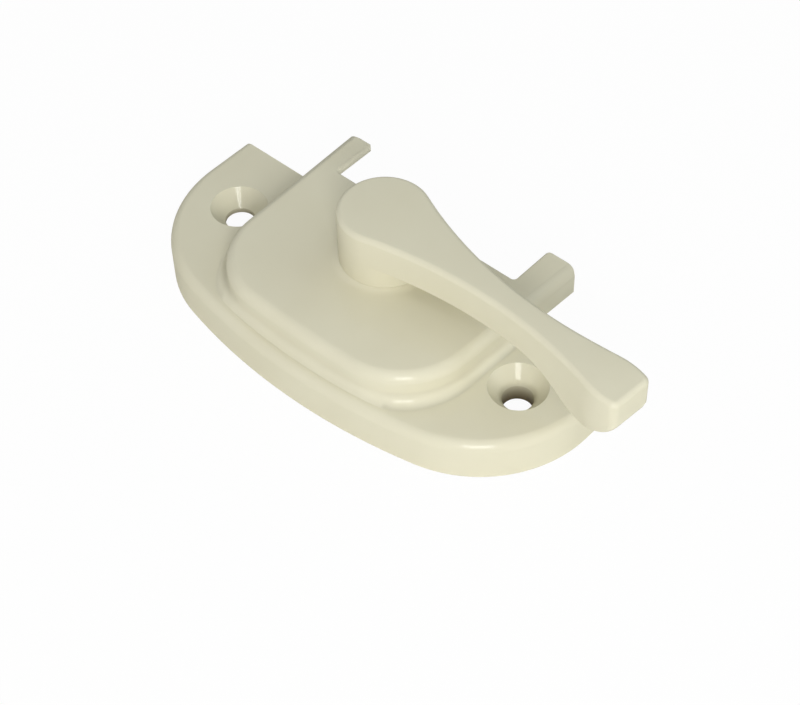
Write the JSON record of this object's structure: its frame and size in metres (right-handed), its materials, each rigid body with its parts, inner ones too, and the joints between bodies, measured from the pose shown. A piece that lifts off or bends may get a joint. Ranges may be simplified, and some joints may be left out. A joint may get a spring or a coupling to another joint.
{
  "type": "sliding window lock",
  "caption": "Surface-mounted cam lock for a sliding or sash window: hollow D-shaped casting with countersunk screw holes, alignment lugs, a waisted turning lever and a hooked cam below.",
  "frame": {"origin": "midway between the two screw holes, on the plane of the mounting rim", "axes": "+X from one screw hole to the other, towards the lever's tip in the open position; +Y towards the keeper, the way the lugs reach; +Z away from the sash"},
  "size_m": [0.0878, 0.0396, 0.0225],
  "materials": {
    "almond_coat": "semi-gloss almond powder coat on a zinc casting",
    "cast_zinc": "as-cast zinc, dull grey",
    "spring_steel": "bare spring steel",
    "plated_steel": "zinc-plated steel"
  },
  "bodies": {
    "casting": {"housing": "almond_coat", "detent_spring": "spring_steel"},
    "lever": {"lever_handle": "almond_coat", "locking_cam": "cast_zinc", "retaining_washer": "plated_steel"}
  },
  "joints": [
    {"name": "lever_turn", "type": "hinge", "parent": "casting", "child": "lever", "pos_m": [0, 0.0032, 0.0128], "axis": [0, 0, -1], "range_deg": [0, 170], "deforming": ["detent_spring"]}
  ]
}
